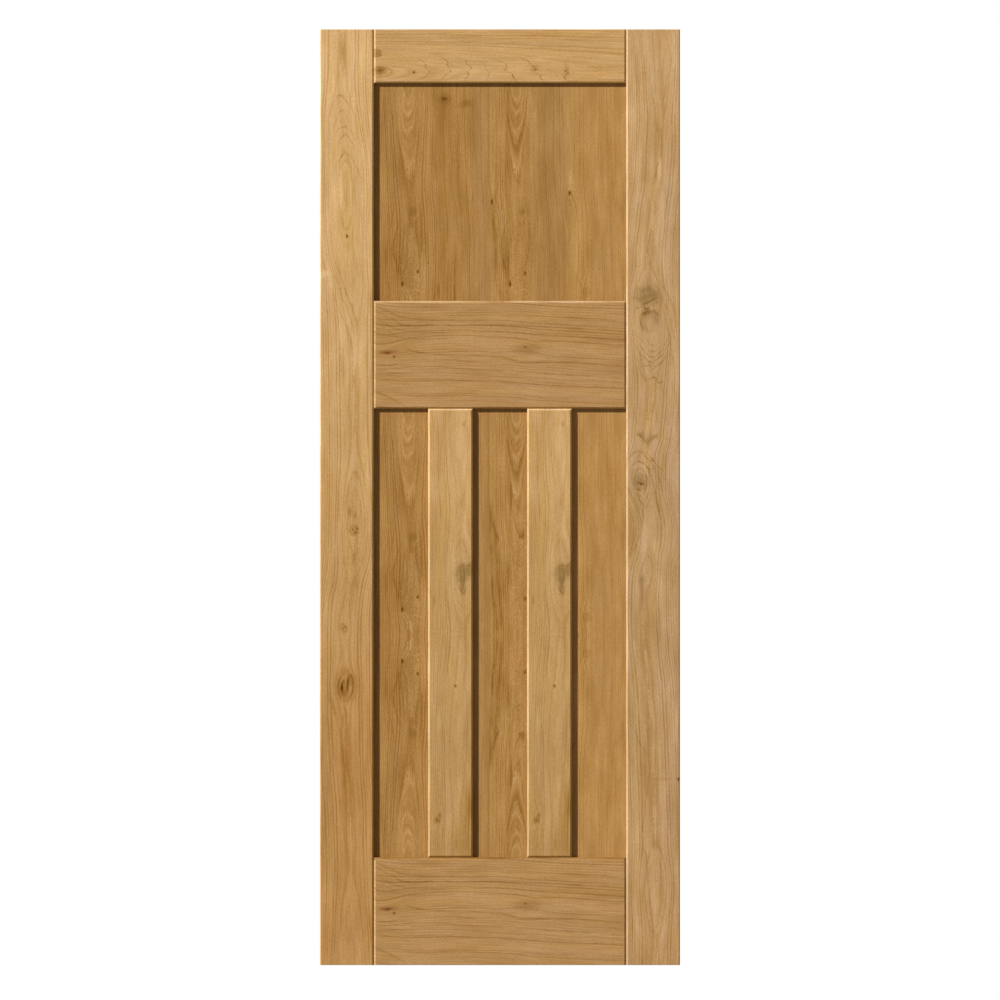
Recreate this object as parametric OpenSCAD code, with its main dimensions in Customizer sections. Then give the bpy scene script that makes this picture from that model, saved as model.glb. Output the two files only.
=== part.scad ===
// Framed and panelled oak door leaf: stiles, rails and muntins joined by dowels around flat grooved-in panels.
// Origin at the middle of the bottom edge. x runs across the leaf, y through its thickness with the front
// face towards -y, and z runs up.

/* [Leaf] */
// Height of the door leaf
leaf_height = 1981; // [1829:1:2134]
// Width of the door leaf
leaf_width = 762; // [610:1:926]
// Thickness of the door leaf
leaf_thickness = 35; // [32:1:54]

/* [Frame members] */
// Width of each stile
stile_width = 114; // [95:1:140]
// Height of the top rail
top_rail_height = 114; // [95:1:140]
// Height of the middle rail
middle_rail_height = 228; // [150:1:260]
// Height of the bottom rail
bottom_rail_height = 228; // [150:1:260]
// Width of each muntin
muntin_width = 95; // [80:1:120]
// Clear height between the bottom rail and the middle rail
lower_opening_height = 950; // [800:1:1050]

/* [Edges] */
// Leg of the bevel along inner edges, which makes the V at every joint line
joint_bevel = 3.5; // [1:0.5:5]
// Leg of the eased arris along the two long outer edges
edge_arris = 2; // [0.5:0.5:4]

/* [Panels] */
// Thickness of the flat panels
panel_thickness = 11; // [6:0.5:14]
// Depth of the groove that holds the panels
groove_depth = 12; // [8:1:16]
// Room for movement at each hidden side of a panel
panel_gap = 1.5; // [0.5:0.5:3]
// Clearance on each face of a panel or tongue in its groove
groove_clearance = 0.1; // [0.05:0.05:0.3]
// Gap beyond the end of each stub tongue
tongue_gap = 0.5; // [0.25:0.25:2]

/* [Dowels] */
// Diameter of the dowels in the rail joints
rail_dowel_diameter = 16; // [12:1:18]
// Length of the dowels in the rail joints
rail_dowel_length = 125; // [100:5:150]
// Number of dowels in each top rail joint
top_rail_dowel_count = 2; // [2:1:3]
// Number of dowels in each middle and bottom rail joint
wide_rail_dowel_count = 3; // [2:1:4]
// Distance from a rail's edge to its nearest dowel
rail_dowel_margin = 35; // [30:1:40]
// Diameter of the dowels in the muntin joints
muntin_dowel_diameter = 12; // [8:1:14]
// Length of the dowels in the muntin joints
muntin_dowel_length = 90; // [60:5:120]
// Number of dowels in each muntin joint
muntin_dowel_count = 2; // [2:1:3]
// Distance from a muntin's edge to its nearest dowel
muntin_dowel_margin = 27; // [25:1:30]
// Chamfer at both ends of every dowel
dowel_chamfer = 1.5; // [0.5:0.5:3]
// Clearance all round a dowel in its bore
dowel_clearance = 0.1; // [0.05:0.05:0.3]
// Glue space beyond each end of a dowel
dowel_end_gap = 1.5; // [0.5:0.5:4]

/* [Hidden] */
$fn = 64;
stile_oak = "#c7a067";
top_rail_oak = "#c69c64";
rail_oak = "#b28754";
muntin_oak = "#bd945d";
panel_oak = "#ad8148";
dowel_beech = "#d8b78c";

// How far a cutting shape runs past the face that it cuts
overrun = 1;

half_thickness = leaf_thickness / 2;
opening_width = leaf_width - 2 * stile_width;
opening_side = opening_width / 2;
middle_rail_bottom = bottom_rail_height + lower_opening_height;
middle_rail_top = middle_rail_bottom + middle_rail_height;
top_rail_bottom = leaf_height - top_rail_height;
top_opening_height = top_rail_bottom - middle_rail_top;

// The three lower openings are equal, with a muntin between each two
lower_opening_width = (opening_width - 2 * muntin_width) / 3;
muntin_centre = (lower_opening_width + muntin_width) / 2;
outer_panel_centre = lower_opening_width + muntin_width;

groove_width = panel_thickness + 2 * groove_clearance;
tongue_length = groove_depth - tongue_gap;

rail_bore_depth = rail_dowel_length / 2 + dowel_end_gap;
muntin_bore_depth = muntin_dowel_length / 2 + dowel_end_gap;

// Dowel centres across a joint of the given width, measured from one edge
function dowel_places(width, count, margin) =
    [for (i = [0 : count - 1]) margin + i * (width - 2 * margin) / (count - 1)];

top_rail_places = dowel_places(top_rail_height, top_rail_dowel_count, rail_dowel_margin);
middle_rail_places = dowel_places(middle_rail_height, wide_rail_dowel_count, rail_dowel_margin);
bottom_rail_places = dowel_places(bottom_rail_height, wide_rail_dowel_count, rail_dowel_margin);
muntin_places = dowel_places(muntin_width, muntin_dowel_count, muntin_dowel_margin);

// Heights of all the dowels that enter a stile, and places of those that enter a rail's long edge
stile_dowel_heights = concat(
    [for (p = bottom_rail_places) p],
    [for (p = middle_rail_places) middle_rail_bottom + p],
    [for (p = top_rail_places) top_rail_bottom + p]
);
muntin_dowel_centres = [
    for (side = [-1, 1], p = muntin_places) side * muntin_centre - muntin_width / 2 + p
];

// One corner of a section, cut off by a bevel of the given leg; back and ahead point along its two edges
function cut_corner(corner, leg, back, ahead) =
    leg > 0 ? [corner + leg * back, corner + leg * ahead] : [corner];

// Section of a frame member: width along x from 0, thickness centred on y, a bevel on each long edge
module member_section(width, low_bevel, high_bevel) {
    h = half_thickness;
    polygon(concat(
        cut_corner([0, -h], low_bevel, [0, 1], [1, 0]),
        cut_corner([width, -h], high_bevel, [-1, 0], [0, 1]),
        cut_corner([width, h], high_bevel, [0, -1], [-1, 0]),
        cut_corner([0, h], low_bevel, [1, 0], [0, -1])
    ));
}

// Groove for the panels, open at x = 0 and running along z
module panel_groove(length) {
    translate([-overrun, -groove_width / 2, -overrun])
        cube([groove_depth + overrun, groove_width, length + 2 * overrun]);
}

// The bevels across both ends of a member, front and back
module end_bevels(length, width) {
    for (far = [0, 1], back = [0, 1])
        translate([0, 0, far * length])
            mirror([0, 0, far])
                mirror([0, back, 0])
                    rotate([90, 0, 90])
                        translate([0, 0, -overrun])
                            linear_extrude(width + 2 * overrun)
                                polygon([
                                    [-half_thickness - overrun, -overrun],
                                    [-half_thickness + joint_bevel + overrun, -overrun],
                                    [-half_thickness - overrun, joint_bevel + overrun]
                                ]);
}

// Bores at both ends of a member, from beyond the tongues down to the bottom of the bore
module end_bores(length, places, diameter, depth) {
    for (far = [0, 1], place = places)
        translate([place, 0, far * length])
            mirror([0, 0, far])
                translate([0, 0, -tongue_length - overrun])
                    cylinder(d = diameter + 2 * dowel_clearance, h = depth + tongue_length + overrun);
}

// A rail or muntin lying along z from 0: bevelled shoulders, a stub tongue at each end, and a groove and a
// bevel on each long edge that faces a panel
module jointed_member(length, width, low_panel, high_panel, places, diameter, depth) {
    difference() {
        union() {
            linear_extrude(length)
                member_section(width, low_panel ? joint_bevel : 0, high_panel ? joint_bevel : 0);
            translate([0, -panel_thickness / 2, -tongue_length])
                cube([width, panel_thickness, length + 2 * tongue_length]);
        }
        translate([0, 0, -tongue_length]) {
            if (low_panel)
                panel_groove(length + 2 * tongue_length);
            if (high_panel)
                translate([width, 0, 0])
                    mirror([1, 0, 0])
                        panel_groove(length + 2 * tongue_length);
        }
        end_bevels(length, width);
        end_bores(length, places, diameter, depth);
    }
}

// A rail across the opening, its upper edge at the given height
module rail(height, width, panel_above, panel_below, places) {
    translate([-opening_side, 0, height])
        rotate([0, 90, 0])
            jointed_member(opening_width, width, panel_above, panel_below, places,
                rail_dowel_diameter, rail_bore_depth);
}

// Bores for the muntin dowels, running up from the given height
module muntin_bores(height) {
    for (x = muntin_dowel_centres)
        translate([x, 0, height])
            cylinder(d = muntin_dowel_diameter + 2 * dowel_clearance, h = muntin_bore_depth + groove_depth);
}

module stile() {
    translate([-leaf_width / 2, 0, 0])
        difference() {
            linear_extrude(leaf_height)
                member_section(stile_width, edge_arris, joint_bevel);
            translate([stile_width, 0, 0])
                mirror([1, 0, 0])
                    panel_groove(leaf_height);
            for (z = stile_dowel_heights)
                translate([stile_width + overrun, 0, z])
                    rotate([0, -90, 0])
                        cylinder(d = rail_dowel_diameter + 2 * dowel_clearance, h = rail_bore_depth + overrun);
        }
}

module left_stile() {
    color(stile_oak) stile();
}

module right_stile() {
    color(stile_oak) mirror([1, 0, 0]) stile();
}

module top_rail() {
    color(top_rail_oak) rail(leaf_height, top_rail_height, false, true, top_rail_places);
}

module middle_rail() {
    color(rail_oak)
        difference() {
            rail(middle_rail_top, middle_rail_height, true, true, middle_rail_places);
            translate([0, 0, -groove_depth])
                muntin_bores(middle_rail_bottom);
        }
}

module bottom_rail() {
    color(rail_oak)
        difference() {
            rail(bottom_rail_height, bottom_rail_height, true, false, bottom_rail_places);
            muntin_bores(bottom_rail_height - muntin_bore_depth);
        }
}

// A muntin between the bottom rail and the middle rail, centred on the given x
module muntin(centre) {
    color(muntin_oak)
        translate([centre - muntin_width / 2, 0, bottom_rail_height])
            jointed_member(lower_opening_height, muntin_width, true, true, muntin_places,
                muntin_dowel_diameter, muntin_bore_depth);
}

module left_muntin() {
    muntin(-muntin_centre);
}

module right_muntin() {
    muntin(muntin_centre);
}

// A flat panel standing on the floor of the groove below it, with room to move at its other edges
module panel(centre, opening_bottom, clear_width, clear_height) {
    width = clear_width + 2 * (groove_depth - panel_gap);
    height = clear_height + 2 * (groove_depth - panel_gap);
    color(panel_oak)
        translate([centre - width / 2, -panel_thickness / 2, opening_bottom - groove_depth])
            cube([width, panel_thickness, height]);
}

module top_panel() {
    panel(0, middle_rail_top, opening_width, top_opening_height);
}

module lower_panel(centre) {
    panel(centre, bottom_rail_height, lower_opening_width, lower_opening_height);
}

module lower_left_panel() {
    lower_panel(-outer_panel_centre);
}

module lower_centre_panel() {
    lower_panel(0);
}

module lower_right_panel() {
    lower_panel(outer_panel_centre);
}

// A dowel with chamfered ends, centred on the origin along z
module dowel(diameter, length) {
    r = diameter / 2;
    rotate_extrude()
        polygon([
            [0, -length / 2], [r - dowel_chamfer, -length / 2], [r, dowel_chamfer - length / 2],
            [r, length / 2 - dowel_chamfer], [r - dowel_chamfer, length / 2], [0, length / 2]
        ]);
}

// The dowels of one rail joint; side is -1 for the left end of the rail and 1 for the right
module rail_dowels(side, rail_bottom, places) {
    color(dowel_beech)
        for (p = places)
            translate([side * opening_side, 0, rail_bottom + p])
                rotate([0, 90, 0])
                    dowel(rail_dowel_diameter, rail_dowel_length);
}

module top_rail_left_dowels() {
    rail_dowels(-1, top_rail_bottom, top_rail_places);
}

module top_rail_right_dowels() {
    rail_dowels(1, top_rail_bottom, top_rail_places);
}

module middle_rail_left_dowels() {
    rail_dowels(-1, middle_rail_bottom, middle_rail_places);
}

module middle_rail_right_dowels() {
    rail_dowels(1, middle_rail_bottom, middle_rail_places);
}

module bottom_rail_left_dowels() {
    rail_dowels(-1, 0, bottom_rail_places);
}

module bottom_rail_right_dowels() {
    rail_dowels(1, 0, bottom_rail_places);
}

// The dowels of one muntin joint, at the given height
module muntin_dowels(centre, height) {
    color(dowel_beech)
        for (p = muntin_places)
            translate([centre - muntin_width / 2 + p, 0, height])
                dowel(muntin_dowel_diameter, muntin_dowel_length);
}

module left_muntin_upper_dowels() {
    muntin_dowels(-muntin_centre, middle_rail_bottom);
}

module left_muntin_lower_dowels() {
    muntin_dowels(-muntin_centre, bottom_rail_height);
}

module right_muntin_upper_dowels() {
    muntin_dowels(muntin_centre, middle_rail_bottom);
}

module right_muntin_lower_dowels() {
    muntin_dowels(muntin_centre, bottom_rail_height);
}

left_stile();
right_stile();
top_rail();
middle_rail();
bottom_rail();
left_muntin();
right_muntin();
top_panel();
lower_left_panel();
lower_centre_panel();
lower_right_panel();
top_rail_left_dowels();
top_rail_right_dowels();
middle_rail_left_dowels();
middle_rail_right_dowels();
bottom_rail_left_dowels();
bottom_rail_right_dowels();
left_muntin_upper_dowels();
left_muntin_lower_dowels();
right_muntin_upper_dowels();
right_muntin_lower_dowels();
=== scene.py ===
"""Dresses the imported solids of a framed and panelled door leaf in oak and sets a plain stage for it."""

import math
from collections import namedtuple

import bmesh
import bpy
from bpy.props import FloatProperty, FloatVectorProperty, IntProperty, PointerProperty
from bpy.types import Operator, Panel, PropertyGroup
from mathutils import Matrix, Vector


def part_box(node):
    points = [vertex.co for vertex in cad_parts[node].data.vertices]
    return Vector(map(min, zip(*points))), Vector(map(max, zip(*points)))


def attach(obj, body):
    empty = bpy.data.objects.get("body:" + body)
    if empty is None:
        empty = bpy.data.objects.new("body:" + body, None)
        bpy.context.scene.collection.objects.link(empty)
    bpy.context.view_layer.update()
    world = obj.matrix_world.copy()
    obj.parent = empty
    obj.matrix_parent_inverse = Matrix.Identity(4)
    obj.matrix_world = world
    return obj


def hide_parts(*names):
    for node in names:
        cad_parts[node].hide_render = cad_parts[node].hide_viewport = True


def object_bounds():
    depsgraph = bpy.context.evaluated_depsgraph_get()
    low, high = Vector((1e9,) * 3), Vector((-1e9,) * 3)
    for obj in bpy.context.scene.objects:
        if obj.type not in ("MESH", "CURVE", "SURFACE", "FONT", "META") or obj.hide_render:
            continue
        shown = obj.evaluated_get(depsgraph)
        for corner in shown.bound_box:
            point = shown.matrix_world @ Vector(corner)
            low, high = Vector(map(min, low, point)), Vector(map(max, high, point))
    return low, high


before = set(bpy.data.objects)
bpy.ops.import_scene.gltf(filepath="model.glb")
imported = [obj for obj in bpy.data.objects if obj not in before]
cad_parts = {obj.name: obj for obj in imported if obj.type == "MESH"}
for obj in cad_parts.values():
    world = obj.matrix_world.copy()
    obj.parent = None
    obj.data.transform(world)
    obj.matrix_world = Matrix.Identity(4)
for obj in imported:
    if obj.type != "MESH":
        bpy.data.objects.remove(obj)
cad_low, cad_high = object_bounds()

bl_info = {
    "name": "Panelled oak door leaf",
    "version": (1, 0, 0),
    "blender": (4, 5, 0),
    "location": "3D View > Sidebar > Door leaf",
    "description": "Dresses a framed and panelled door leaf in oak and sets a plain stage",
    "category": "Object",
}

MM = 0.001


def srgb(red, green, blue):
    """A colour given as screen levels from 0 to 255, as the linear values that materials take."""

    def linear(level):
        share = level / 255
        return share / 12.92 if share <= 0.04045 else ((share + 0.055) / 1.055) ** 2.4

    return (linear(red), linear(green), linear(blue))


# Places on the leaf, in metres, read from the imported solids
LEAF_LEFT, LEAF_RIGHT = cad_low.x, cad_high.x
LEAF_TOP = cad_high.z
FRAME_FACE = cad_low.y
PANEL_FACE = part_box("top_panel")[0].y
OPENING_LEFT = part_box("left_stile")[1].x
OPENING_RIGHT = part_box("right_stile")[0].x
TOP_OPENING_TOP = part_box("top_rail")[0].z
MIDDLE_RAIL_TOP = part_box("middle_rail")[1].z
LOWER_OPENING_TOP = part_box("middle_rail")[0].z
BOTTOM_RAIL_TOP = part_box("bottom_rail")[1].z


# What a board shows, in millimetres: along its grain from the end where it starts, and across from one edge.
# An arch draws the growth rings out, and a swirl pushes the grain aside or, as a curl, shows wavy lines.
# A knot has a fill, a dark core and a rim, and a patch is a soft stain. A streak runs along the grain, its
# path given as places along and across, and a wave runs across it, with places across and along. A contour
# is one growth ring. Strips are the leaves of a veneer, each from its left edge on.
Arch = namedtuple("Arch", "along before after rise")
Swirl = namedtuple("Swirl", "along across length width rise")
Knot = namedtuple("Knot", "along across length width fill core rim tone", defaults=("brown",))
Patch = namedtuple("Patch", "along across length width density tone", defaults=("brown",))
Streak = namedtuple("Streak", "width density path")
Wave = namedtuple("Wave", "width density path")
Contour = namedtuple("Contour", "level width density along length")
Strip = namedtuple("Strip", "edge axis arched lines density ash")

Board = namedtuple(
    "Board",
    "seed tones spacing pith axis ring_density line_density cloud ripple "
    "arches swirls curls knots patches streaks waves contours strips",
    defaults=((),) * 9,
)

LEFT_STILE = Board(
    seed=3.0,
    tones=((0.0, "stile_head"), (0.4, "stile_middle"), (0.78, "stile_low"), (1.0, "stile_foot")),
    spacing=4.2,
    pith=40.0,
    axis=((0, 47), (135, 46), (264, 54), (438, 57), (630, 70), (880, 72), (1061, 73), (1267, 52), (1396, 52),
          (1515, 54), (1765, 65), (1981, 65)),
    ring_density=0.2,
    line_density=0.24,
    cloud=0.27,
    ripple=1.6,
    arches=(Arch(330, 240, 340, 25), Arch(1061, 190, 115, 11), Arch(2100, 340, 1, 17)),
    swirls=(Swirl(1267, 50, 24, 13, -4), Swirl(1390, 54, 32, 22, -9), Swirl(520, 6, 26, 20, 8)),
    curls=(Swirl(400, 56, 70, 16, 0.08), Swirl(1080, 72, 90, 22, 0.14)),
    knots=(
        Knot(439, 57, 5, 4, 0.25, 1.3, 0.1),
        Knot(1061, 72, 9, 9, 0.16, 0.0, 0.3),
        Knot(1059, 69, 3, 3, 0.2, 0.6, 0.0),
        Knot(1065, 74, 3, 4, 0.2, 0.7, 0.0),
        Knot(1058, 79, 4, 3, 0.2, 0.5, 0.0),
        Knot(1267, 50, 8, 7, 0.14, 0.0, 0.3),
        Knot(1269, 48, 3, 3, 0.2, 0.6, 0.0),
        Knot(1264, 53, 3, 3, 0.15, 0.5, 0.0),
        Knot(1396, 50, 14, 9, 0.28, 0.0, 0.3),
        Knot(1394, 47, 8, 2.5, 0.3, 1.1, 0.0),
        Knot(1377, 63, 10, 6, 0.2, 0.1, 0.3),
        Knot(1388, 55, 30, 20, 0.1, 0.0, 0.24),
    ),
    patches=(
        Patch(45, 50, 45, 5, 0.12),
        Patch(330, 12, 230, 13, 0.035, "ash"),
        Patch(390, 54, 130, 13, 0.13, "ochre"),
        Patch(518, 9, 9, 11, -0.2),
        Patch(540, 22, 16, 9, -0.1),
        Patch(715, 49, 38, 6, 0.16),
        Patch(1022, 63, 8, 4, 0.3),
        Patch(1030, 75, 7, 4, 0.25),
        Patch(1126, 50, 9, 4, 0.16),
        Patch(1119, 72, 10, 5, 0.2),
        Patch(1176, 76, 9, 5, 0.18),
        Patch(1080, 70, 110, 22, 0.07, "ochre"),
        Patch(1562, 54, 90, 9, 0.12, "orange"),
        Patch(1500, 18, 260, 14, 0.035, "ash"),
        Patch(1640, 66, 60, 12, 0.08, "ochre"),
        Patch(1930, 60, 60, 40, 0.03, "ash"),
    ),
    streaks=(
        Streak(1.8, 0.2, ((501, 38), (556, 55), (586, 67), (628, 80))),
        Streak(1.6, 0.18, ((515, 30), (570, 48), (606, 62), (648, 74))),
        Streak(1.5, 0.16, ((548, 24), (596, 42), (640, 60), (676, 69))),
        Streak(1.6, 0.36, ((1430, 52), (1470, 55), (1530, 55))),
        Streak(1.5, 1.1, ((1381, 50), (1389, 46), (1397, 45), (1407, 49))),
        Streak(1.4, 0.8, ((1368, 65), (1376, 60), (1388, 58), (1402, 56), (1412, 53))),
        Streak(1.4, 0.5, ((1366, 52), (1380, 40), (1396, 37), (1414, 42), (1424, 52))),
        Streak(1.4, 0.5, ((1362, 56), (1374, 68), (1392, 70), (1410, 66), (1424, 56))),
        Streak(2.2, 0.18, ((1408, 20), (1450, 32), (1500, 44), (1560, 50))),
        Streak(2.0, 0.14, ((1450, 14), (1510, 26), (1580, 36), (1650, 42))),
    ),
    waves=(
        Wave(1.6, 0.26, ((20, 178), (37, 141), (46, 140), (65, 163), (74, 186))),
        Wave(1.6, 0.3, ((26, 218), (41, 175), (48, 171), (60, 195), (72, 232))),
        Wave(1.8, 0.22, ((32, 218), (41, 209), (55, 206), (62, 215))),
        Wave(1.6, 0.3, ((36, 248), (46, 228), (55, 222), (63, 232), (78, 256))),
        Wave(1.8, 0.3, ((30, 300), (44, 269), (53, 261), (65, 268), (90, 318))),
        Wave(2.0, 0.24, ((46, 286), (53, 277), (60, 284))),
        Wave(1.6, 0.22, ((60, 924), (69, 884), (76, 926))),
    ),
    contours=(
        Contour(-3.0, 0.4, 0.18, 980, 100),
        Contour(-6.5, 0.4, 0.2, 1030, 80),
    ),
)

RIGHT_STILE = Board(
    seed=17.0,
    tones=((0.0, "right_stile_head"), (0.5, "right_stile_middle"), (1.0, "right_stile_foot")),
    spacing=4.0,
    pith=36.0,
    axis=((0, 62), (190, 72), (400, 56), (568, 47), (666, 54), (867, 44), (956, 31), (1060, 48), (1164, 36),
          (1400, 50), (1600, 58), (1820, 63), (1981, 61)),
    ring_density=0.19,
    line_density=0.24,
    cloud=0.36,
    ripple=1.8,
    arches=(Arch(-40, 1, 240, 15), Arch(605, 110, 160, 15), Arch(956, 60, 70, 7),
            Arch(1820, 105, 105, 8)),
    swirls=(Swirl(1060, 0, 70, 30, 15), Swirl(1150, 52, 24, 16, -5)),
    curls=(Swirl(940, 44, 70, 34, 0.14), Swirl(1160, 48, 60, 26, 0.12)),
    knots=(
        Knot(564, 44, 24, 25, 0.36, 0.0, 0.1, "grey"),
        Knot(620, 48, 18, 16, 0.12, 0.0, 0.26, "grey"),
        Knot(956, 31, 15, 13, 0.22, 0.25, 0.3, "grey"),
        Knot(962, 32, 3, 7, 0.2, 0.9, 0.0, "red"),
        Knot(1587, 112, 5, 4, 0.6, 1.2, 0.0),
    ),
    patches=(
        Patch(400, 92, 420, 24, 0.04, "ash"),
        Patch(1150, 98, 340, 22, 0.04, "ash"),
        Patch(1650, 96, 380, 22, 0.05, "ash"),
        Patch(230, 70, 60, 14, 0.04),
        Patch(350, 52, 90, 16, 0.05, "ochre"),
        Patch(380, 60, 140, 60, -0.045),
        Patch(850, 60, 130, 60, -0.04),
        Patch(470, 46, 50, 4, 0.1, "ochre"),
        Patch(620, 46, 6, 8, -0.08),
        Patch(596, 46, 10, 18, 0.12, "grey"),
        Patch(612, 60, 10, 7, 0.2, "grey"),
        Patch(530, 47, 24, 7, 0.16, "grey"),
        Patch(700, 52, 70, 28, 0.08, "grey"),
        Patch(790, 46, 70, 20, 0.05, "ochre"),
        Patch(858, 31, 6, 11, 0.24, "grey"),
        Patch(862, 58, 6, 11, 0.26, "grey"),
        Patch(872, 44, 9, 9, 0.3, "grey"),
        Patch(960, 30, 60, 26, 0.05, "grey"),
        Patch(1030, 14, 60, 18, 0.08, "ochre"),
        Patch(1130, 52, 18, 16, 0.14, "grey"),
        Patch(1164, 34, 10, 6, 0.24, "grey"),
        Patch(1195, 35, 26, 4, 0.2, "grey"),
        Patch(1250, 51, 50, 20, 0.1, "ochre"),
        Patch(1450, 36, 180, 26, 0.08, "ochre"),
        Patch(1723, 62, 16, 9, 0.16),
        Patch(1587, 80, 3, 14, 0.16),
        Patch(1830, 62, 80, 9, -0.05),
    ),
    streaks=(
        Streak(1.6, 0.2, ((0, 54), (80, 59), (192, 70))),
        Streak(1.8, 0.2, ((30, 104), (80, 92), (130, 82), (182, 75))),
        Streak(2.2, 0.18, ((196, 71), (245, 76), (300, 64), (400, 58))),
        Streak(2.0, 0.16, ((519, 60), (545, 78), (580, 96), (625, 110))),
        Streak(2.0, 0.16, ((535, 60), (565, 74), (605, 90), (660, 104))),
        Streak(2.0, 0.14, ((560, 68), (600, 80), (650, 92), (720, 100))),
        Streak(1.7, 0.34, ((600, 34), (610, 31), (622, 31), (634, 38))),
        Streak(2.0, 0.2, ((905, 40), (925, 58), (950, 70), (1000, 78))),
        Streak(2.0, 0.18, ((915, 36), (940, 50), (970, 60), (1040, 72))),
        Streak(2.2, 0.22, ((990, 2), (1011, 36), (1060, 32), (1085, 24), (1120, 3))),
        Streak(2.0, 0.16, ((1473, 15), (1510, 28), (1562, 49), (1640, 40), (1720, 30))),
        Streak(1.8, 0.24, ((1735, 42), (1800, 46), (1860, 52), (1912, 58))),
        Streak(1.8, 0.24, ((1735, 72), (1800, 73), (1850, 71), (1912, 62))),
    ),
    waves=(
        Wave(1.8, 0.38, ((22, 712), (36, 735), (41, 745), (52, 738), (62, 736), (69, 749), (78, 745))),
        Wave(1.8, 0.30, ((18, 690), (32, 715), (48, 711), (56, 720), (76, 704), (90, 684))),
        Wave(1.7, 0.30, ((16, 664), (32, 688), (47, 703), (56, 706), (78, 688), (92, 664))),
        Wave(1.7, 0.26, ((22, 656), (36, 678), (50, 693), (60, 695), (76, 680), (88, 654))),
        Wave(1.6, 0.22, ((28, 650), (40, 668), (52, 682), (62, 683), (74, 670), (84, 648))),
        Wave(1.6, 0.20, ((36, 648), (52, 668), (62, 669), (76, 648))),
        Wave(2.2, 0.3, ((8, 906), (16, 896), (28, 893), (40, 902), (52, 914), (58, 912), (70, 936))),
        Wave(2.0, 0.26, ((10, 926), (24, 914), (40, 920), (48, 930), (56, 930), (72, 960))),
        Wave(1.8, 0.24, ((44, 896), (58, 912), (66, 926), (76, 930), (86, 946))),
        Wave(3.0, 0.34, ((22, 855), (34, 864), (45, 876), (54, 868), (70, 857))),
        Wave(1.3, 1.0, ((23, 957), (30, 961), (38, 960))),
        Wave(1.6, 0.4, ((20, 970), (28, 976), (38, 972))),
        Wave(4.0, 0.14, ((20, 546), (34, 554), (50, 548), (62, 556))),
        Wave(4.6, 0.16, ((14, 566), (32, 572), (50, 562), (66, 560))),
        Wave(2.4, 0.4, ((32, 584), (44, 580), (54, 574), (66, 568))),
        Wave(2.2, 0.4, ((20, 590), (34, 588), (45, 593), (52, 588))),
        Wave(4.4, 0.42, ((30, 604), (45, 599), (58, 596), (70, 605))),
    ),
    contours=(
        Contour(-3.6, 0.5, 0.3, 956, 40),
        Contour(-1.0, 0.5, 0.26, 956, 50),
    ),
)

TOP_RAIL = Board(
    seed=29.0,
    tones=((0.0, "top_rail"), (1.0, "top_rail")),
    spacing=4.2,
    pith=100.0,
    axis=((0, 92), (200, 90), (534, 96)),
    ring_density=0.13,
    line_density=0.3,
    cloud=0.16,
    ripple=1.5,
    arches=(Arch(-60, 1, 560, 34),),
    swirls=(Swirl(6, 51, 16, 11, 6), Swirl(13, 87, 26, 14, -4)),
    knots=(
        Knot(6, 51, 8, 7, 0.2, 0.4, 0.7),
        Knot(13, 87, 13, 9, 0.4, 0.5, 0.2),
        Knot(84, 91, 4, 4, 0.2, 1.2, 0.1),
    ),
    patches=(
        Patch(340, 84, 9, 9, 0.26),
        Patch(407, 88, 5, 14, 0.2),
        Patch(220, 92, 160, 16, -0.06),
        Patch(300, 20, 240, 12, 0.05),
        Patch(480, 90, 60, 20, 0.05, "orange"),
    ),
    waves=(
        Wave(1.2, 0.43, ((52, 128), (62, 147), (69, 156), (78, 155), (87, 163), (99, 150), (110, 138))),
        Wave(1.2, 0.54, ((58, 172), (66, 196), (73, 195), (81, 207), (90, 198), (99, 201), (110, 190))),
        Wave(1.2, 0.60, ((60, 246), (68, 270), (75, 281), (87, 278), (94, 294), (99, 293), (110, 300))),
        Wave(1.3, 0.66, ((56, 300), (66, 324), (75, 333), (84, 344), (90, 338), (97, 354), (102, 351),
                         (111, 362))),
        Wave(1.2, 0.54, ((78, 388), (83, 410), (88, 404), (93, 412), (100, 401), (108, 408))),
        Wave(1.1, 0.36, ((58, 86), (70, 108), (80, 110), (90, 118), (104, 104))),
        Wave(1.1, 0.31, ((66, 222), (76, 238), (82, 236), (92, 244), (106, 240))),
        Wave(1.1, 0.24, ((88, 470), (98, 480), (108, 474))),
    ),
)

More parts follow.
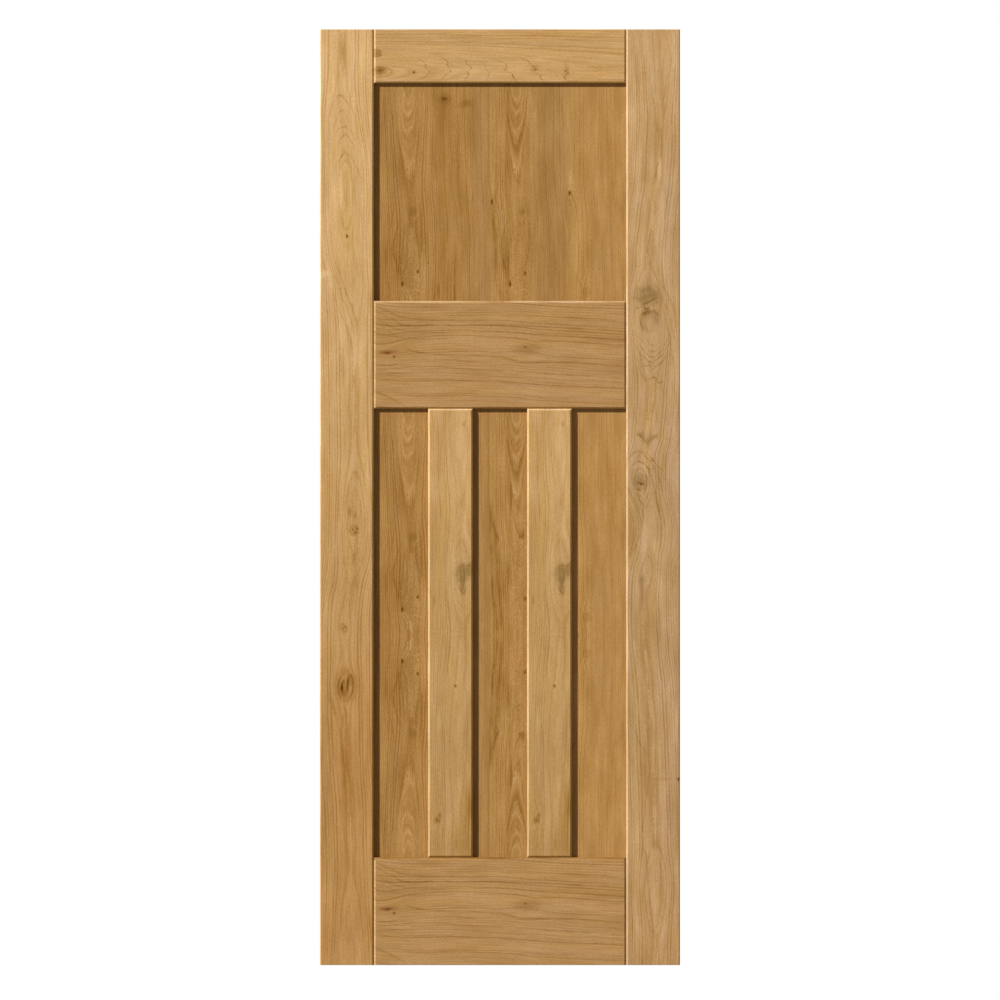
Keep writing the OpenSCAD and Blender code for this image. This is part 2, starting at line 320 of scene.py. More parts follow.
WIDE_RAIL = Board(
    seed=41.0,
    tones=((0.0, "wide_rail"), (1.0, "wide_rail")),
    spacing=5.2,
    pith=40.0,
    axis=((0, -68), (76, -60), (200, -60), (290, -57), (350, -52), (534, -42)),
    ring_density=0.19,
    line_density=0.27,
    cloud=0.2,
    ripple=2.2,
    swirls=(Swirl(-10, 98, 75, 36, -22), Swirl(324, 108, 50, 14, 7), Swirl(324, 92, 50, 12, -5)),
    knots=(
        Knot(29, 109, 18, 4, 0.36, 0.66, 0.12, "red"),
        Knot(44, 118, 4, 4, 0.2, 0.8, 0.0, "red"),
        Knot(324, 103, 26, 11, 0.1, 0.06, 0.08),
        Knot(322, 98, 6, 3, 0.24, 0.3, 0.0),
    ),
    patches=(
        Patch(36, 105, 60, 60, 0.1, "ochre"),
        Patch(530, 110, 60, 140, 0.05),
        Patch(330, 104, 60, 20, 0.04, "ochre"),
        Patch(430, 160, 140, 34, 0.025, "ash"),
        Patch(150, 150, 140, 26, 0.015, "ash"),
        Patch(380, 70, 160, 22, 0.04),
        Patch(250, 28, 200, 16, 0.04, "ochre"),
        Patch(270, 110, 90, 90, -0.035),
    ),
    streaks=(
        Streak(1.4, 0.24, ((0, 10), (30, 22), (70, 36), (110, 40), (240, 42))),
        Streak(1.4, 0.14, ((0, 66), (14, 58), (36, 66), (52, 82), (58, 100))),
        Streak(1.4, 0.2, ((0, 132), (30, 136), (60, 128), (110, 124), (220, 130))),
        Streak(1.7, 0.24, ((0, 20), (40, 38), (80, 53), (127, 51), (330, 54), (534, 65))),
        Streak(1.8, 0.21, ((10, 38), (55, 60), (90, 66), (250, 66), (400, 73), (534, 83))),
        Streak(1.4, 0.15, ((0, 52), (50, 76), (100, 80), (250, 78), (420, 86), (534, 95))),
        Streak(1.7, 0.30, ((70, 103), (137, 113), (250, 117), (290, 124), (314, 130), (384, 130),
                           (534, 138))),
        Streak(1.5, 0.20, ((0, 148), (60, 141), (110, 138), (190, 144), (330, 152), (534, 165))),
        Streak(1.2, 0.14, ((0, 160), (90, 152), (250, 158), (400, 166), (534, 173))),
        Streak(1.5, 0.15, ((0, 175), (90, 166), (250, 172), (400, 179), (534, 184))),
        Streak(1.8, 0.21, ((0, 190), (35, 206), (70, 226))),
        Streak(1.2, 0.15, ((110, 30), (300, 32), (534, 43))),
        Streak(1.1, 0.12, ((60, 196), (250, 198), (400, 206), (534, 209))),
    ),
)

MUNTIN = Board(
    seed=53.0,
    tones=((0.0, "muntin_head"), (0.5, "muntin_middle"), (1.0, "muntin_foot")),
    spacing=3.8,
    pith=32.0,
    axis=((0, 62), (150, 68), (357, 74), (600, 66), (950, 60)),
    ring_density=0.15,
    line_density=0.22,
    cloud=0.32,
    ripple=1.6,
    arches=(Arch(352, 150, 110, 11), Arch(30, 60, 170, 7), Arch(700, 170, 170, 5)),
    swirls=(Swirl(868, 20, 24, 12, 8), Swirl(40, 24, 60, 20, 6)),
    curls=(Swirl(350, 72, 60, 26, 0.1), Swirl(868, 22, 40, 18, 0.12)),
    knots=(
        Knot(350, 72, 21, 13, 0.42, 0.0, 0.1, "grey"),
        Knot(340, 90, 12, 10, 0.26, 0.0, 0.12, "grey"),
        Knot(377, 74, 16, 7, 0.26, 0.3, 0.1, "grey"),
        Knot(588, 58, 4, 4, 0.2, 0.9, 0.0),
        Knot(871, 20, 7, 6, 0.25, 0.4, 0.2),
        Knot(860, 25, 5, 4, 0.2, 0.3, 0.1),
    ),
    patches=(
        Patch(348, 76, 36, 22, 0.12, "grey"),
        Patch(33, 76, 6, 3, 0.3),
        Patch(160, 14, 50, 12, -0.1),
        Patch(180, 70, 120, 14, -0.09),
        Patch(480, 60, 90, 16, -0.03),
        Patch(300, 34, 200, 14, 0.07, "ochre"),
        Patch(560, 26, 140, 12, 0.03, "ochre"),
        Patch(690, 84, 120, 12, 0.02, "ochre"),
        Patch(650, 46, 70, 50, -0.06),
        Patch(415, 46, 40, 50, 0.03),
        Patch(407, 13, 8, 2, 0.25),
        Patch(842, 90, 30, 8, 0.26, "ochre"),
        Patch(900, 80, 70, 14, 0.1, "ochre"),
        Patch(640, 40, 200, 20, 0.01, "ash"),
    ),
    waves=(
        Wave(1.5, 0.5, ((61, 366), (67, 380), (74, 392), (79, 384), (86, 372))),
        Wave(1.5, 0.4, ((60, 350), (64, 338), (74, 330), (86, 334), (94, 324))),
    ),
    contours=(
        Contour(-2.4, 0.45, -0.16, 260, 80),
        Contour(-5.4, 0.45, 0.16, 280, 70),
    ),
)

# Grain that curls round the pins of the veneer, which shows twice, side by side
CURL_STEP = 228.0
CURL_STREAKS = (
    Streak(1.6, 0.26, ((290, 56), (320, 47), (350, 42), (380, 47), (404, 54))),
    Streak(1.6, 0.24, ((300, 64), (340, 62), (385, 57), (424, 59))),
    Streak(1.4, 0.2, ((250, 46), (300, 36), (365, 28), (410, 29), (440, 36))),
    Streak(1.4, 0.16, ((250, 88), (300, 100), (340, 101), (380, 94), (398, 90))),
    Streak(1.4, -0.26, ((430, 64), (455, 77), (480, 79))),
)
CURL_WAVES = (
    Wave(1.6, 0.24, ((69, 262), (76, 292), (84, 300), (92, 294), (98, 270))),
    Wave(1.6, -0.2, ((77, 278), (85, 290), (93, 280))),
    Wave(1.5, 0.2, ((64, 312), (72, 332), (80, 336), (92, 322))),
    Wave(1.4, -0.2, ((80, 440), (90, 436), (102, 442))),
    Wave(1.4, -0.16, ((82, 456), (92, 452), (104, 458))),
)


def beside(board, streaks, waves, step):
    """The board with streaks and waves drawn on it twice, the second time moved across by a step."""
    streaks_too = tuple(s._replace(path=tuple((u, v + step) for u, v in s.path)) for s in streaks)
    waves_too = tuple(w._replace(path=tuple((v + step, u) for v, u in w.path)) for w in waves)
    return board._replace(
        streaks=board.streaks + streaks + streaks_too,
        waves=board.waves + waves + waves_too,
    )


VENEER_SHEET = Board(
    seed=67.0,
    tones=((0.0, "panel"), (1.0, "panel")),
    spacing=3.8,
    pith=34.0,
    axis=((0, 0), (200, 3), (330, 10), (480, 10)),
    ring_density=0.17,
    line_density=0.22,
    cloud=0.33,
    ripple=1.5,
    arches=(Arch(-60, 1, 290, 18), Arch(415, 130, 90, 2.5)),
    swirls=(Swirl(250, 252, 40, 11, 10), Swirl(231, 416, 40, 11, 10), Swirl(425, 61, 26, 10, -6),
            Swirl(441, 440, 34, 14, 10)),
    curls=(Swirl(400, 76, 110, 30, 0.2), Swirl(400, 305, 110, 30, 0.2), Swirl(231, 416, 50, 14, 0.16),
           Swirl(441, 446, 50, 20, 0.16)),
    knots=(
        Knot(400, 93, 6, 3.5, 0.25, 1.4, 0.0),
        Knot(425, 60, 8, 3, 0.3, 1.4, 0.0),
        Knot(33, 149, 4, 7, 0.3, 0.4, 0.0),
        Knot(251, 250, 7, 3.5, 0.25, 1.4, 0.0),
        Knot(232, 414, 7, 3.5, 0.3, 1.5, 0.0),
        Knot(402, 320, 6, 3.5, 0.2, 1.0, 0.0),
        Knot(425, 288, 8, 3, 0.3, 1.3, 0.0),
        Knot(441, 451, 9, 8, 0.14, 0.0, 0.1),
        Knot(381, 115, 3, 3, 0.1, 0.4, 0.0),
        Knot(442, 137, 20, 4, 0.25, 0.1, 0.0, "red"),
        Knot(273, 83, 9, 7, 0.16, 0.1, 0.1),
        Knot(273, 313, 9, 7, 0.16, 0.1, 0.1),
    ),
    patches=(
        Patch(240, 114, 300, 20, -0.06),
        Patch(34, 150, 10, 14, 0.28),
        Patch(42, 197, 8, 12, 0.22),
        Patch(46, 186, 6, 16, 0.12),
        Patch(190, 56, 60, 6, 0.14),
        Patch(190, 284, 60, 6, 0.14),
        Patch(370, 52, 50, 7, 0.14),
        Patch(370, 281, 50, 7, 0.14),
        Patch(300, 92, 60, 12, 0.08, "ochre"),
        Patch(300, 320, 60, 12, 0.08, "ochre"),
        Patch(225, 251, 24, 6, -0.2),
        Patch(330, 256, 90, 8, 0.12, "ochre"),
        Patch(206, 416, 24, 6, -0.2),
        Patch(260, 149, 500, 12, 0.1, "ochre"),
        Patch(120, 180, 160, 18, 0.08, "ochre"),
        Patch(230, 210, 400, 2, 0.12, "orange"),
        Patch(230, 228, 400, 12, 0.02, "ash"),
        Patch(240, 284, 600, 7, 0.16, "ochre"),
        Patch(230, 368, 600, 22, 0.08, "grey"),
        Patch(100, 74, 80, 8, -0.05),
        Patch(100, 302, 80, 8, -0.05),
    ),
    streaks=(
        Streak(1.3, 0.45, ((365, 173), (410, 171), (462, 170), (480, 170))),
        Streak(3.0, 0.22, ((205, 247), (251, 250), (330, 255), (400, 262), (462, 268))),
        Streak(1.3, 0.2, ((395, 160), (430, 163), (480, 164))),
        Streak(1.3, 0.14, ((399, 424), (420, 434), (450, 446), (480, 450))),
    ),
    contours=(
        Contour(-13.0, 0.45, -0.2, 40, 60),
        Contour(-10.5, 0.45, -0.22, 70, 60),
        Contour(-9.0, 0.45, 0.16, 80, 60),
        Contour(-6.5, 0.45, -0.22, 100, 60),
        Contour(-5.0, 0.45, 0.16, 130, 60),
        Contour(-1.4, 0.45, -0.18, 170, 60),
        Contour(-0.2, 0.5, 0.2, 190, 60),
    ),
    strips=(
        Strip(0, 72, 1.0, 1.35, 0.06, 0.0),
        Strip(134, -40, 0.0, 1.1, 0.03, 0.0),
        Strip(210, 420, 0.0, 0.8, 0.0, 0.05),
        Strip(246, 60, 0.0, 1.2, -0.07, 0.0),
        Strip(282, 301, 1.0, 1.3, 0.0, 0.0),
        Strip(341, 100, 0.0, 0.9, -0.02, 0.04),
        Strip(408, 180, 0.0, 0.95, -0.06, -0.02),
    ),
)

VENEER = beside(VENEER_SHEET, CURL_STREAKS, CURL_WAVES, CURL_STEP)

# The lower centre panel has the same veneer with other figure on it
CENTRE_VENEER = VENEER._replace(
    swirls=(Swirl(402, 324, 30, 14, 8),),
    curls=(Swirl(430, 308, 90, 22, 0.24), Swirl(290, 308, 60, 18, 0.2)),
    knots=(
        Knot(402, 320, 6, 3.5, 0.2, 1.0, 0.0),
        Knot(267, 314, 9, 6, 0.2, 0.2, 0.1),
        Knot(273, 309, 5, 4, 0.2, 0.2, 0.0),
    ),
    patches=(
        Patch(350, 286, 26, 5, 0.24),
        Patch(180, 288, 90, 4, 0.16),
        Patch(330, 256, 100, 8, 0.12, "ochre"),
        Patch(430, 262, 90, 12, 0.16, "ochre"),
        Patch(240, 284, 600, 7, 0.1, "ochre"),
        Patch(240, 240, 600, 7, 0.06, "ochre"),
        Patch(100, 302, 80, 8, -0.05),
    ),
    streaks=(
        Streak(2.0, 0.3, ((203, 248), (240, 252), (285, 268))),
        Streak(2.6, 0.34, ((203, 247), (330, 249), (400, 252), (440, 259), (480, 263))),
        Streak(4.0, 0.26, ((240, 256), (330, 263), (400, 266), (470, 270), (480, 270))),
        Streak(2.4, 0.2, ((400, 252), (440, 254), (480, 252))),
        Streak(1.5, 0.24, ((160, 290), (220, 294), (262, 306), (276, 318))),
    ),
    waves=(
        Wave(1.5, 0.26, ((288, 312), (298, 326), (310, 334), (322, 326))),
        Wave(1.5, -0.2, ((290, 380), (300, 376), (312, 382))),
    ),
)

# How far down a panel its veneer turns over and runs back, in millimetres
FOLD = 480.0

# How strongly each kind of stain takes up red, green and blue light
STAIN = {
    "brown": (1.0, 1.34, 2.25),
    "grey": (1.0, 1.08, 1.4),
    "red": (0.75, 1.35, 1.6),
    "orange": (0.3, 1.0, 2.2),
    "ochre": (0.8, 1.02, 2.2),
    "ash": (0.65, 0.47, -0.57),
    # pale is no stain: taken away, it paints the highlight on the bevels that face the lamps
    "pale": (0.85, 1.45, 2.5),
    # honey is no stain: taken away, it paints a warmer, lighter shade tint on the bevels that face away from
    # the lamps
    "shade_tint": (1.0, 0.95, 0.0),
}

# The noises in a board: length, width and depth of their features in millimetres, how many finer layers they
# have and how strong these are, and a shift that keeps each noise apart from the others
Noise = namedtuple("Noise", "long wide deep detail roughness shift", defaults=(0.0,))
WANDER = Noise(420, 70, 70, 2.0, 0.45)
RIPPLE = Noise(70, 24, 40, 4.0, 0.62, 7.0)
RAGGED = Noise(16, 6, 6, 2.0, 0.65, 43.0)
DRIFT = Noise(160, 34, 34, 2.0, 0.5, 61.0)
FIBRE = Noise(80, 2.8, 20, 3.0, 0.66, 3.0)
HAIR = Noise(6, 1.3, 6, 2.0, 0.6, 11.0)
PORE = Noise(7, 0.6, 0.6, 1.0, 0.5, 19.0)
CLOUD = Noise(150, 30, 30, 3.0, 0.6, 23.0)
BLUSH = Noise(260, 20, 20, 3.0, 0.6, 31.0)
MOTTLE = Noise(40, 12, 12, 2.0, 0.6, 37.0)
SPECK = Noise(5, 3.4, 3.4, 1.0, 0.5, 47.0)
CURL = Noise(36, 17, 17, 2.0, 0.5, 71.0)
RELIEF = Noise(14, 0.7, 0.7, 1.0, 0.5, 53.0)
BEECH_CLOUD = Noise(24, 6, 24, 2.0, 0.5)
BEECH_FLECK = Noise(2.2, 0.7, 2.2, 1.0, 0.5)

# How far the grain strays, its lines fray and the arches lean, in millimetres
WANDER_REACH = 5.0
FIBRE_FRAY = 1.2
HAIR_FRAY = 0.6
ARCH_DRIFT = 30.0
ARCH_RAGGED = 5.0

# How wide an arch is, and how near the board's axis the grain changes sides, in millimetres
ARCH_WIDTH = 48.0
AXIS_SOFTNESS = 20.0

# Where in a growth ring its line is darkest and where it has faded, as shares of the ring, how the lines
# differ in strength, and by how many rings the strips of a veneer are out of step
RING_PEAK = 0.1
RING_END = 0.65
RING_SPREAD = 1.7
RING_LEAST = 0.15
RING_MEAN = 0.24
RING_JUMP = 9.55

# Pores: the noise levels between which they open, how many there are early in a ring, and where they thin out
PORE_RANGE = (0.25, 0.6)
PORE_MOST = 1.1
PORE_END = 0.6

# How strongly the finer parts of the figure stain the oak
HAIR_STAIN = 0.24
PORE_STAIN = 0.34
SPECK_STAIN = 0.07
BLUSH_STAIN = 0.17
MOTTLE_STAIN = 0.05

# How much the fibres streak what is drawn, and between which levels of mottle drawn lines break up
STREAKINESS = 0.8
BREAK_RANGE = (-0.35, 0.3)
BREAK_LEAST = 0.3
BREAK_MORE = 0.9

# How far ripples, ragged edges and hairs shake what is drawn, in millimetres
KNOT_SHAKE_ALONG = (3.0, 2.5, 0.0)
KNOT_SHAKE_ACROSS = (0.0, 2.2, 0.0)
STREAK_SHAKE = (1.3, 1.2, 0.0)
WAVE_SHAKE = (2.0, 4.0, 2.0)

# How far drawn lines fade out at their ends, in millimetres
STREAK_FADE = 14
WAVE_FADE = 8

# A knot, in shares of its size: how ragged it is, where its fill fades out, how wide its core is, and the
# place and width of its rim, and how strong the rim is
KNOT_RAGGED = 0.4
KNOT_EDGE = (0.5, 1.25)
KNOT_CORE = 0.42
KNOT_RIM = (1.05, 0.3)
RIM_STRENGTH = 0.6

# Curled grain: its number of wavy lines from low to high, how ragged they are, their edges and their mean
CURL_LINES = 8.0
CURL_RAGGED = 0.15
CURL_RANGE = (0.3, 0.95)
CURL_MEAN = 0.35

# How squarely the faces and the bevels of a board face the front or back, from 0 to 1, and how far a bevel
# has to face up or aside, towards the lamps, to get the painted highlight
FACE_RANGE = (0.75, 0.98)
BEVEL_RANGE = (0.2, 0.5)
LAMP_FACING_RANGE = (-0.15, 0.15)

# What lies this near the leaf's outer edges isn't in a recess and gets no painted recess shade, and how far
# the painted shade on the sill bevel reaches below and above the top of the bottom rail, in millimetres
EDGE_MARGIN = 5.0
SILL_BELOW = 6.0
SILL_ABOVE = 1.0

# How much rougher the hairs and pores are than the lacquer, and the relief of the open grain
HAIR_ROUGHNESS = 0.06
PORE_ROUGHNESS = 0.12
GRAIN_STRENGTH = 0.3
GRAIN_RELIEF = 0.1 * MM

# Bare beech
BEECH_SHIFTS = ((5.0, 1.0, 2.0), (1.0, 8.0, 3.0))
BEECH_FLECK_RANGE = (0.25, 0.5)
BEECH_CLOUD_STAIN = 0.12
BEECH_FLECK_STAIN = 0.22
BEECH_ROUGHNESS = 0.6
BEECH_FLECK_ROUGHNESS = 0.1
BEECH_SHEEN = 0.2
BEECH_STRENGTH = 0.2

# Softening of the boards: what counts as one point, as flat and as a sharp edge, how far out the face edges
# lie as a share of half the thickness, and the number of faces round a softened edge
WELD = 1e-6
FLAT_ANGLE = math.radians(0.5)
SHARP_ANGLE = math.radians(20)
FACE_SHARE = 0.79
ARRIS_FACES = 3

# Dowels: points round each flute, and where the end rings begin as a share of the length from the middle
FLUTE_POINTS = 8
END_SHARE = 0.49

# The stage: where the lamps shine to and how soft they are, the light that the room throws back, the floor as
# it is seen and as it throws light back, and the camera
KEY_DIRECTION = (1.35, 1.0, -0.96)
KEY_SPREAD = math.radians(3)
BACK_DIRECTION = (-0.45, -0.75, -0.48)
BACK_SPREAD = math.radians(6)
WARM_WHITE = (1.0, 0.79, 0.64)
WHITE = (1.0, 1.0, 1.0, 1.0)
FLOOR_WHITE = (0.8, 0.8, 0.8, 1.0)
FLOOR_DULL = (0.22, 0.22, 0.22, 1.0)
FLOOR_GLOW = 0.28
CAMERA_DISTANCE = 5.0
CAMERA_REACH = 100.0


def maths(operation, swapped=False):
    """A method that adds a Math node for an operation on its own value and those it is given."""

    def method(self, *others):
        values = (*others, self) if swapped else (self, *others)
        return self.tree.node("ShaderNodeMath", {"operation": operation}, dict(enumerate(values)))

    return method


class Sock:
    """A socket of a node tree; arithmetic on it adds Math nodes to that tree."""

    def __init__(self, tree, socket):
        self.tree = tree
        self.socket = socket

    __add__ = maths("ADD")
    __radd__ = maths("ADD", swapped=True)
    __sub__ = maths("SUBTRACT")
    __rsub__ = maths("SUBTRACT", swapped=True)
    __mul__ = maths("MULTIPLY")
    __rmul__ = maths("MULTIPLY", swapped=True)
    __truediv__ = maths("DIVIDE")
    __rtruediv__ = maths("DIVIDE", swapped=True)
    sqrt = maths("SQRT")
    exp = maths("EXPONENT")
    floor = maths("FLOOR")
    fract = maths("FRACT")
    abs = maths("ABSOLUTE")
    sign = maths("SIGN")
    cos = maths("COSINE")
    arctan2 = maths("ARCTAN2")
    above = maths("GREATER_THAN")
    largest = maths("MAXIMUM")

    def __neg__(self):
        return self * -1.0

    def smooth(self, low, high):
        """0 below low and 1 above high, with a smooth step between."""
        return self.tree.node(
            "ShaderNodeMapRange",
            {"interpolation_type": "SMOOTHSTEP"},
            {"Value": self, "From Min": low, "From Max": high},
        )


class Tree:
    """The node tree of a material, a world or a modifier, built from expressions on Sock values."""

    def __init__(self, nodes_and_links):
        self.nodes = nodes_and_links.nodes
        self.links = nodes_and_links.links
        self.nodes.clear()

    def node(self, kind, settings=None, inputs=None, output=0):
        """Adds a node, sets it up, feeds its sockets, and gives back one output or a list of them."""
        made = self.nodes.new(kind)
        for name, value in (settings or {}).items():
            if name == "stops":
                set_stops(made.color_ramp, value)
            elif name == "curve":
                set_curve(made.mapping, *value)
            else:
                setattr(made, name, value)
        for key, value in (inputs or {}).items():
            if isinstance(value, Sock):
                self.links.new(value.socket, made.inputs[key])
            else:
                made.inputs[key].default_value = value
        if isinstance(output, (list, tuple)):
            return [Sock(self, made.outputs[key]) for key in output]
        return Sock(self, made.outputs[output])

    def vector(self, x, y, z):
        return self.node("ShaderNodeCombineXYZ", {}, {"X": x, "Y": y, "Z": z})

    def split(self, vector):
        return self.node("ShaderNodeSeparateXYZ", {}, {"Vector": vector}, output=["X", "Y", "Z"])

    def times(self, colour, other):
        return self.node("ShaderNodeVectorMath", {"operation": "MULTIPLY"}, {0: colour, 1: other})

    def place(self):
        """The place on the leaf, in millimetres."""
        metres = self.node("ShaderNodeTexCoord", {}, {}, output="Object")
        return self.node("ShaderNodeVectorMath", {"operation": "SCALE"}, {0: metres, "Scale": 1 / MM})

    def noise(self, place, kind, shift):
        """Smooth noise from about -1 to 1 on a place that is scaled and shifted first."""
        scale = (1 / kind.long, 1 / kind.wide, 1 / kind.deep)
        scaled = self.node(
            "ShaderNodeVectorMath", {"operation": "MULTIPLY_ADD"}, {0: place, 1: scale, 2: shift}
        )
        level = self.node(
            "ShaderNodeTexNoise",
            {"noise_dimensions": "3D"},
            {"Vector": scaled, "Scale": 1.0, "Detail": kind.detail, "Roughness": kind.roughness},
            output="Fac",
        )
        return level * 2.0 - 1.0

    def curve(self, value, points, bend="AUTO"):
        """A curve through the given points, read at value; it bends smoothly unless bend is VECTOR."""
        lows = [min(p[i] for p in points) for i in (0, 1)]
        spans = [max(p[i] for p in points) - lows[i] or 1.0 for i in (0, 1)]
        shares = [tuple((p[i] - lows[i]) / spans[i] for i in (0, 1)) for p in points]
        share = self.node(
            "ShaderNodeMath", {"operation": "DIVIDE", "use_clamp": True}, {0: value - lows[0], 1: spans[0]}
        )
        read = self.node("ShaderNodeFloatCurve", {"curve": (shares, bend)}, {"Value": share})
        return read * spans[1] + lows[1]

    def left_light(self, density):
        """The share of red, green and blue light that stains leave, as a colour."""
        shares = [
            (-total(amount * STAIN[tone][channel] for tone, amount in density.items())).exp()
            for channel in range(3)
        ]
        return self.node("ShaderNodeCombineColor", {}, dict(enumerate(shares)))

    def straight_look(self):
        """1 for what the camera sees, also in a reflection or through glass, and 0 for other light."""
        camera, glossy, through = self.node(
            "ShaderNodeLightPath", {}, {}, output=["Is Camera Ray", "Is Glossy Ray", "Is Transmission Ray"]
        )
        return camera.largest(glossy).largest(through)

    def bump(self, height, strength):
        return self.node(
            "ShaderNodeBump", {}, {"Strength": strength, "Distance": GRAIN_RELIEF, "Height": height}
        )

    def surface(self, **sockets):
        """The principled surface that ends a material's tree."""
        inputs = {key.replace("_", " "): value for key, value in sockets.items()}
        shader = self.node("ShaderNodeBsdfPrincipled", {}, inputs)
        self.node("ShaderNodeOutputMaterial", {}, {"Surface": shader}, output=[])


def new_material(name):
    """A material and its empty tree."""
    material = bpy.data.materials.new(name)
    material.use_nodes = True
    return material, Tree(material.node_tree)


def set_stops(ramp, stops):
    """Gives a colour ramp the stops of a list of (place, colour)."""
    while len(ramp.elements) > 1:
        ramp.elements.remove(ramp.elements[-1])
    for i, (place, colour) in enumerate(stops):
        element = ramp.elements[0] if i == 0 else ramp.elements.new(place)
        element.position = place
        element.color = (*colour, 1.0)


def set_curve(mapping, points, bend):
    """Gives a float curve the points of a list of (x, y), all from 0 to 1, and how it bends at them."""
    line = mapping.curves[0]
    line.points[0].location = points[0]
    line.points[1].location = points[-1]
    for x, y in points[1:-1]:
        line.points.new(x, y)
    for point in line.points:
        point.handle_type = bend
    mapping.update()


def total(parts):
    """The sum of values in a node tree."""
    first, *others = parts
    return sum(others, first)


def gauss(value, centre, width):
    """A soft hump of height 1 round a centre."""
    step = (value - centre) / width
    return (-(step * step)).exp()


def oval(u, v, feature):
    """How far a place lies from a feature's centre, squared, in the feature's own length and width."""
    along = (u - feature.along) / feature.length
    across = (v - feature.across) / feature.width
    return along * along + across * across


def pick(coordinate, place):
    """Where to count from: one place, or one of the two places either side of a split."""
    if not isinstance(place, tuple):
        return place / MM
    below, split, above = place
    return coordinate.above(split / MM) * ((above - below) / MM) + below / MM


class OakFigure:
    """The figure of one board as stains in its wood; u runs along the grain and v across it."""

    def __init__(self, tree, board, u, v, depth):
        self.tree = tree
        self.board = board
        self.u = u
        self.v = v
        self.density = {}
        self.grain = tree.vector(u, v, depth)
        self.ripple = self.noise(RIPPLE) * board.ripple
        self.ragged = self.noise(RAGGED)
        self.mottle = self.noise(MOTTLE)
        wander = tree.noise(self.grain, WANDER, (board.seed, board.seed, 0.0)) * WANDER_REACH
        off = v - tree.curve(u, board.axis) + wander
        if board.strips:
            off = off - self.by_strip("axis")

        # Fibres and pores run along the board and are turned aside by knots
        turned = total((-oval(u, v, swirl)).exp() * swirl.rise for swirl in board.swirls)
        side = off / (off * off + AXIS_SOFTNESS**2).sqrt()
        self.flow = tree.vector(u, off + self.ripple + turned * side, depth)
        self.fibre = self.noise(FIBRE, self.flow)
        self.hair = self.noise(HAIR, self.flow)
        self.streaky = self.fibre * STREAKINESS + 1.0
        self.broken = self.streaky * (self.mottle.smooth(*BREAK_RANGE) * BREAK_MORE + BREAK_LEAST)

        # Growth rings lie round the axis of the board, drawn out into arches, with edges frayed by the fibres
        deep = depth + board.pith
        rings = (off * off + deep * deep).sqrt() - board.pith + self.ripple + turned
        if board.arches:
            rings = rings - self.arch_rise(off)
        self.rings = rings + self.fibre * FIBRE_FRAY + self.hair * HAIR_FRAY

    def noise(self, kind, place=None):
        """One of the board's noises, along its grain or along the given places."""
        seed = self.board.seed
        return self.tree.noise(place or self.grain, kind, (seed, kind.shift, seed))

    def stepped(self, values):
        """A value that changes from strip to strip across a veneer."""
        value = values[0]
        for strip, before, after in zip(self.board.strips[1:], values, values[1:]):
            if after != before:
                value = value + self.v.above(strip.edge) * (after - before)
        return value

    def by_strip(self, field):
        return self.stepped([getattr(strip, field) for strip in self.board.strips])

    def arch_rise(self, off):
        """How far the arches draw out the rings at a distance off the axis."""
        leaning = self.u + self.noise(DRIFT) * ARCH_DRIFT + self.ragged * ARCH_RAGGED
        rise = total(
            leaning.smooth(arch.along - arch.before, arch.along)
            * (1.0 - leaning.smooth(arch.along, arch.along + arch.after)) * arch.rise
            for arch in self.board.arches
        )
        rise = rise * gauss(off, 0.0, ARCH_WIDTH)
        return rise * self.by_strip("arched") if self.board.strips else rise

    def stain(self, tone, amount):
        self.density[tone] = self.density[tone] + amount if tone in self.density else amount

    def stain_grain(self):
        """Stains the growth rings, fibres and pores, and the clouds between them."""
        board = self.board
        count = self.rings / board.spacing
        if board.strips:
            count = count + self.stepped([RING_JUMP * i for i in range(len(board.strips))])
        phase = count.fract()
        chance = self.tree.node(
            "ShaderNodeTexWhiteNoise", {"noise_dimensions": "1D"}, {"W": count.floor()}, output="Value"
        )
        line = phase.smooth(0.0, RING_PEAK) * (1.0 - phase.smooth(RING_PEAK, RING_END))
        ring = line * (chance * chance * RING_SPREAD + RING_LEAST) - RING_MEAN
        open_pores = self.noise(PORE, self.flow).smooth(*PORE_RANGE)
        self.pore = open_pores * (PORE_MOST - phase.smooth(RING_PEAK, PORE_END))
        lines = ring * board.ring_density + self.fibre * board.line_density
        lines = lines + self.hair * HAIR_STAIN + self.pore * PORE_STAIN
        if board.strips:
            lines = lines * self.by_strip("lines")
        self.stain("brown", lines + self.noise(CLOUD) * board.cloud + self.noise(SPECK) * SPECK_STAIN)
        self.stain("ash", self.noise(BLUSH) * BLUSH_STAIN + self.mottle * MOTTLE_STAIN)

    def shaken(self, place, shake):
        """A place moved by the board's ripples, ragged edges and hairs."""
        for noise, reach in zip((self.ripple, self.ragged, self.hair), shake):
            if reach:
                place = place + noise * reach
        return place

    def stain_knots(self):
        """Stains the knots and the soft patches, with ragged edges."""
        u = self.shaken(self.u, KNOT_SHAKE_ALONG)
        v = self.shaken(self.v, KNOT_SHAKE_ACROSS)
        for knot in self.board.knots:
            reach = oval(u, v, knot).sqrt() * (self.ragged * KNOT_RAGGED + 1.0)
            amount = (1.0 - reach.smooth(*KNOT_EDGE)) * knot.fill * self.streaky
            if knot.core:
                amount = amount + gauss(reach, 0.0, KNOT_CORE) * knot.core
            if knot.rim:
                amount = amount + gauss(reach, *KNOT_RIM) * knot.rim * self.streaky * RIM_STRENGTH
            self.stain(knot.tone, amount)
        for patch in self.board.patches:
            self.stain(patch.tone, (-oval(u, v, patch)).exp() * self.streaky * patch.density)

    def trace(self, way, aside, drawn, fade, bend):
        """A drawn line that fades out at both ends; its path gives the place aside for each on its way."""
        first, last = drawn.path[0][0], drawn.path[-1][0]
        line = gauss(aside, self.tree.curve(way, drawn.path, bend), drawn.width)
        begun = way.smooth(first - fade / 2, first + fade)
        ended = way.smooth(last - fade, last + fade / 2)
        return line * begun * (1.0 - ended) * self.broken * drawn.density

